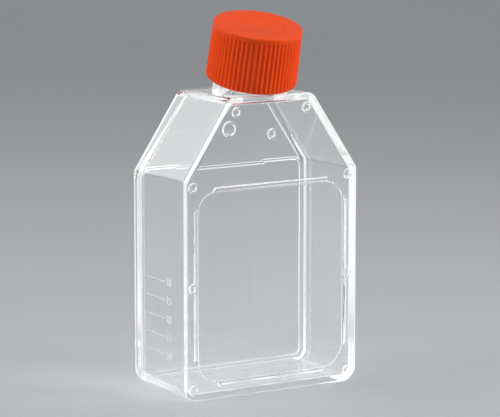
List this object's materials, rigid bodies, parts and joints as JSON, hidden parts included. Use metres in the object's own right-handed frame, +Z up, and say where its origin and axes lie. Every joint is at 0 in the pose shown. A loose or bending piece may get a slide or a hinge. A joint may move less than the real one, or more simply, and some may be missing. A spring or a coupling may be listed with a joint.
{
  "type": "cell culture flask",
  "caption": "Clear rectangular cell culture flask with sloped shoulders, a canted threaded neck and a ribbed orange screw cap with a plug seal.",
  "frame": {"origin": "middle of the flat end face that the flask stands on, in line with the middle of the body's depth", "axes": "+Z up the flask towards the neck, +Y out of the growth plate, so the front panel with the stacking bars looks along -Y, and X runs across the width"},
  "size_m": [0.051, 0.0305, 0.096],
  "materials": {
    "clear_body": "clear moulded polystyrene, polished",
    "clear_plate": "clear moulded polystyrene, optically flat",
    "seal": "natural soft polyethylene",
    "cap": "orange-red polyethylene, satin"
  },
  "bodies": {
    "flask": {"flask_body": "clear_body", "growth_plate": "clear_plate"},
    "seal": {"plug_seal": "seal"},
    "cap": {"cap": "cap"}
  },
  "joints": [
    {"name": "cap_lift", "type": "slide", "parent": "flask", "child": "seal", "axis": [0, -0.2453, 0.9694], "range_m": [0, 0.0137]},
    {"name": "cap_turn", "type": "hinge", "parent": "seal", "child": "cap", "pos_m": [0, -0.0019, 0.0755], "axis": [0, -0.2453, 0.9694], "range_deg": [0, 1530]}
  ],
  "couplings": [
    {"joint": "cap_lift", "follows": "cap_turn", "m_per_rad": 0.0005093}
  ]
}
